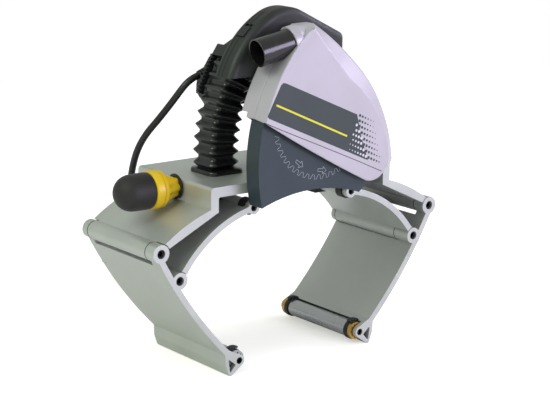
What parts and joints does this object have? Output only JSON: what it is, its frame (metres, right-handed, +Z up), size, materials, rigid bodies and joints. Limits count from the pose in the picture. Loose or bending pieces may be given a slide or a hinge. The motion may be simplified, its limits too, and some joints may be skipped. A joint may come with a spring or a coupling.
{
  "type": "pipe saw",
  "caption": "Portable pipe saw: a hinged roller clamp carries a plunging motor unit with a guarded circular blade, loop handle, bellows, clamp knob and mains cord.",
  "frame": {"origin": "middle of the bounding box at the floor, without the free cord, its coil and its plug", "axes": "+X along the clamp screw away from its knob, +Y along the pipe towards the motor's rear, +Z up"},
  "size_m": [0.411, 0.4475, 0.4029],
  "materials": {
    "aluminium_profile": "satin anodised extrusion",
    "bracket_metal": "machined",
    "steel": "turned and ground",
    "nut_steel": "blackened",
    "blade_steel": "ground",
    "brass": "turned",
    "black_rubber": "moulded",
    "cord_jacket": "smooth jacket",
    "black_plastic": "fine texture",
    "gloss_black": "polished",
    "yellow_plastic": "fine texture",
    "guard_silver": "satin silver paint",
    "guard_grey": "satin dark grey paint",
    "housing_grey": "fine texture",
    "windings": "lacquered core"
  },
  "bodies": {
    "frame": {"frame_profile": "aluminium_profile", "pivot_bracket": "bracket_metal", "bracket_bolts": "steel", "pivot_pin": "steel", "outer_hinge_pins": "steel", "screw_bushes": "brass", "bellows": "black_rubber", "plunge_spring": "steel", "cord_run": "cord_jacket", "cord_coil": "cord_jacket", "plug": "black_plastic"},
    "screw": {"adjusting_screw": "steel", "knob_hub": "yellow_plastic", "knob_ring": "yellow_plastic", "knob_grip": "black_rubber"},
    "motor_unit": {"guard_front_cover": "guard_silver", "guard_rear_shell": "guard_silver", "guard_screws": "steel", "dust_tube": "gloss_black", "gear_housing": "housing_grey", "bearings": "steel", "motor_can": "housing_grey", "stator": "windings", "brush_holders": "black_plastic", "motor_rear_cover": "housing_grey", "handle_front": "housing_grey", "handle_rear": "housing_grey", "power_switch": "black_plastic", "cord_boot": "black_rubber"},
    "lower_guard": {"lower_guard": "guard_grey"},
    "spindle": {"spindle": "steel", "spindle_gear": "steel", "blade": "blade_steel", "blade_flanges": "steel", "blade_bolt": "steel"},
    "intermediate_gears": {"intermediate_gears": "steel"},
    "armature": {"armature_shaft": "steel", "armature_core": "windings"},
    "trigger": {"trigger": "black_plastic"},
    "lock_lever": {"lock_lever": "black_plastic"},
    "left_jaw": {"left_jaw": "aluminium_profile", "left_inner_hinge_pin": "steel", "left_lower_axle": "steel"},
    "left_link": {"left_link": "aluminium_profile"},
    "left_upper_roller": {"left_upper_axle": "steel", "left_upper_rollers": "black_rubber"},
    "left_lower_roller": {"left_roller_tube": "steel", "left_roller_rings": "black_rubber", "left_roller_bushes": "brass"},
    "left_nut": {"left_nut_block": "nut_steel"},
    "right_jaw": {"right_jaw": "aluminium_profile", "right_inner_hinge_pin": "steel", "right_lower_axle": "steel"},
    "right_link": {"right_link": "aluminium_profile"},
    "right_upper_roller": {"right_upper_axle": "steel", "right_upper_rollers": "black_rubber"},
    "right_lower_roller": {"right_roller_tube": "steel", "right_roller_rings": "black_rubber", "right_roller_bushes": "brass"},
    "right_nut": {"right_nut_block": "nut_steel"}
  },
  "joints": [
    {"name": "left_jaw_hinge", "type": "hinge", "parent": "frame", "child": "left_jaw", "pos_m": [-0.1908, 0.018, 0.1544], "axis": [0, 1, 0], "range_deg": [-30, 31]},
    {"name": "left_link_hinge", "type": "hinge", "parent": "left_jaw", "child": "left_link", "pos_m": [-0.1667, 0.018, 0.1208], "axis": [0, 1, 0], "range_deg": [-38.4, 37.2]},
    {"name": "left_upper_roller_spin", "type": "hinge", "parent": "left_link", "child": "left_upper_roller", "pos_m": [-0.0678, 0.018, 0.188], "axis": [0, 1, 0], "continuous": true},
    {"name": "left_lower_roller_spin", "type": "hinge", "parent": "left_jaw", "child": "left_lower_roller", "pos_m": [-0.0862, 0.018, 0.0158], "axis": [0, 1, 0], "continuous": true},
    {"name": "left_nut_slide", "type": "slide", "parent": "frame", "child": "left_nut", "axis": [-1, 0, 0], "range_m": [-0.02505, 0.0259]},
    {"name": "right_jaw_hinge", "type": "hinge", "parent": "frame", "child": "right_jaw", "pos_m": [0.1952, 0.018, 0.1544], "axis": [0, -1, 0], "range_deg": [-30.2, 31.2]},
    {"name": "right_link_hinge", "type": "hinge", "parent": "right_jaw", "child": "right_link", "pos_m": [0.1711, 0.018, 0.1208], "axis": [0, -1, 0], "range_deg": [-38.4, 37.2]},
    {"name": "right_upper_roller_spin", "type": "hinge", "parent": "right_link", "child": "right_upper_roller", "pos_m": [0.0722, 0.018, 0.188], "axis": [0, 1, 0], "continuous": true},
    {"name": "right_lower_roller_spin", "type": "hinge", "parent": "right_jaw", "child": "right_lower_roller", "pos_m": [0.0906, 0.018, 0.0158], "axis": [0, 1, 0], "continuous": true},
    {"name": "right_nut_slide", "type": "slide", "parent": "frame", "child": "right_nut", "axis": [1, 0, 0], "range_m": [-0.02505, 0.0259]},
    {"name": "screw_turn", "type": "hinge", "parent": "frame", "child": "screw", "pos_m": [-0.126, 0.0128, 0.208], "axis": [1, 0, 0], "range_deg": [-1496.3, 1546]},
    {"name": "motor_plunge", "type": "hinge", "parent": "frame", "child": "motor_unit", "pos_m": [0.1052, -0.0254, 0.238], "axis": [0, -1, 0], "range_deg": [0, 22], "stiffness_Nm_per_rad": 14, "springref_deg": -37.24, "deforming": ["bellows", "plunge_spring", "cord_run"]},
    {"name": "lower_guard_retract", "type": "hinge", "parent": "motor_unit", "child": "lower_guard", "pos_m": [0.1052, -0.0602, 0.238], "axis": [0, 1, 0], "range_deg": [0, 20], "stiffness_Nm_per_rad": 0.4, "springref_deg": -28.65},
    {"name": "armature_spin", "type": "hinge", "parent": "motor_unit", "child": "armature", "pos_m": [0.0142, 0.0078, 0.325], "axis": [0, -1, 0], "continuous": true},
    {"name": "intermediate_spin", "type": "hinge", "parent": "motor_unit", "child": "intermediate_gears", "pos_m": [0.02712, -0.0322, 0.30016], "axis": [0, -1, 0], "continuous": true},
    {"name": "spindle_spin", "type": "hinge", "parent": "motor_unit", "child": "spindle", "pos_m": [0.0042, -0.0602, 0.2824], "axis": [0, -1, 0], "continuous": true},
    {"name": "trigger_pull", "type": "slide", "parent": "motor_unit", "child": "trigger", "axis": [-0.6753, 0, 0.7375], "range_m": [0, 0.004], "stiffness_N_per_m": 600, "springref_m": -0.002},
    {"name": "lock_lever_push", "type": "slide", "parent": "motor_unit", "child": "lock_lever", "axis": [0.7375, 0, 0.6753], "range_m": [0, 0.002], "stiffness_N_per_m": 800, "springref_m": -0.001}
  ],
  "couplings": [
    {"joint": "left_link_hinge", "follows": "left_jaw_hinge", "ratio": -1.23},
    {"joint": "left_nut_slide", "follows": "left_jaw_hinge", "m_per_rad": 0.0475},
    {"joint": "right_jaw_hinge", "follows": "left_jaw_hinge", "ratio": 1},
    {"joint": "right_link_hinge", "follows": "left_jaw_hinge", "ratio": -1.23},
    {"joint": "right_nut_slide", "follows": "left_jaw_hinge", "m_per_rad": 0.0475},
    {"joint": "screw_turn", "follows": "left_jaw_hinge", "ratio": 49.742},
    {"joint": "intermediate_spin", "follows": "armature_spin", "ratio": -0.27273},
    {"joint": "spindle_spin", "follows": "armature_spin", "ratio": 0.19251}
  ]
}
